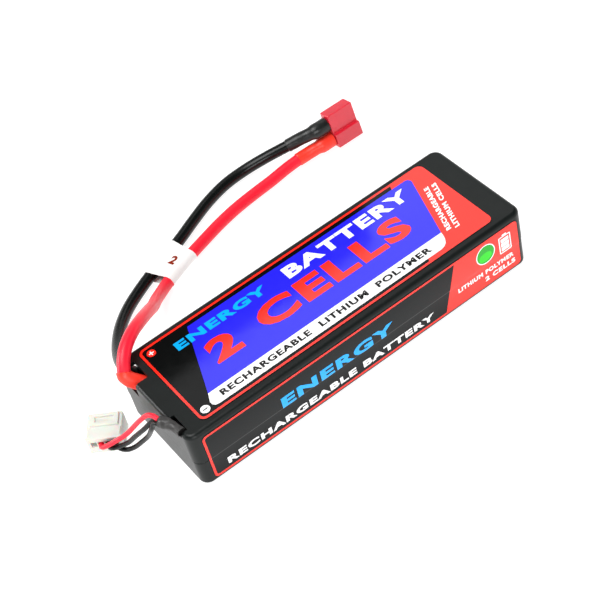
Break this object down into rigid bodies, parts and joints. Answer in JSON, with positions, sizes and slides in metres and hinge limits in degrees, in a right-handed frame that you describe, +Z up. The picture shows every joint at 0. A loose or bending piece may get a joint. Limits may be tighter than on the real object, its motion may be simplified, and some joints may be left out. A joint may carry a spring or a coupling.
{
  "type": "lipo battery pack",
  "caption": "Hard-case rechargeable pouch-cell pack: two-part shell, printed film labels, leads to a T-shaped power plug and a small balance plug.",
  "frame": {"origin": "middle of the case's flat underside", "axes": "+X along the case, away from the end the leads leave; +Z up, out of the top label; +Y across, towards the main leads"},
  "size_m": [0.1593, 0.1145, 0.032],
  "materials": {
    "case_plastic": "fine satin moulded plastic, dark grey",
    "top_label": "glossy printed film",
    "side_label": "glossy printed film",
    "red_silicone": "satin silicone",
    "black_silicone": "satin silicone",
    "red_shrink": "satin heat-shrink tube",
    "black_shrink": "satin heat-shrink tube",
    "grey_shrink": "dull heat-shrink tube",
    "red_nylon": "satin moulded nylon",
    "white_nylon": "satin translucent nylon",
    "gold": "gold plated",
    "spring_brass": "spring brass",
    "tinned": "tinned metal",
    "copper": "bare copper strip",
    "paper": "white film",
    "cell_foil": "laminate pouch foil",
    "board": "solder mask",
    "foam": "closed-cell foam"
  },
  "bodies": {
    "pack": {"case_lid": "case_plastic", "case_base": "case_plastic", "label_top": "top_label", "label_near": "side_label", "label_far": "side_label", "cell_lower": "cell_foil", "cell_upper": "cell_foil", "cell_lower_tab_negative": "tinned", "cell_lower_tab_positive": "tinned", "cell_upper_tab_negative": "tinned", "cell_upper_tab_positive": "tinned", "foam_bottom": "foam", "foam_middle": "foam", "foam_top": "foam", "foam_end": "foam", "terminal_board": "board", "series_link": "copper", "solder_block_positive": "tinned", "solder_block_negative": "tinned", "lead_root_red": "red_silicone", "lead_root_black": "black_silicone", "exit_sleeve_red": "red_shrink", "exit_sleeve_black": "black_shrink", "main_lead_red": "red_silicone", "main_lead_black": "black_silicone", "wire_tag": "paper", "plug_sleeve_red": "red_shrink", "plug_sleeve_black": "black_shrink", "plug_housing": "red_nylon", "plug_contact_positive": "gold", "plug_contact_negative": "gold", "balance_root": "black_silicone", "balance_sleeve": "grey_shrink", "balance_wire_red": "red_silicone", "balance_wire_black_1": "black_silicone", "balance_wire_black_2": "black_silicone", "balance_housing": "white_nylon", "balance_terminal_1": "tinned", "balance_terminal_2": "tinned", "balance_terminal_3": "tinned"},
    "positive_leaf": {"plug_spring_positive": "spring_brass"},
    "negative_leaf": {"plug_spring_negative": "spring_brass"}
  },
  "joints": [
    {"name": "positive_leaf_bend", "type": "hinge", "parent": "pack", "child": "positive_leaf", "pos_m": [0.0612, 0.07652, 0.00518], "axis": [0, 0.9781, -0.2079], "range_deg": [-5, 0], "stiffness_Nm_per_rad": 0.05},
    {"name": "negative_leaf_bend", "type": "hinge", "parent": "pack", "child": "negative_leaf", "pos_m": [0.0612, 0.0772, 0.0103], "axis": [0, 0.2079, 0.9781], "range_deg": [-5, 0], "stiffness_Nm_per_rad": 0.05}
  ]
}
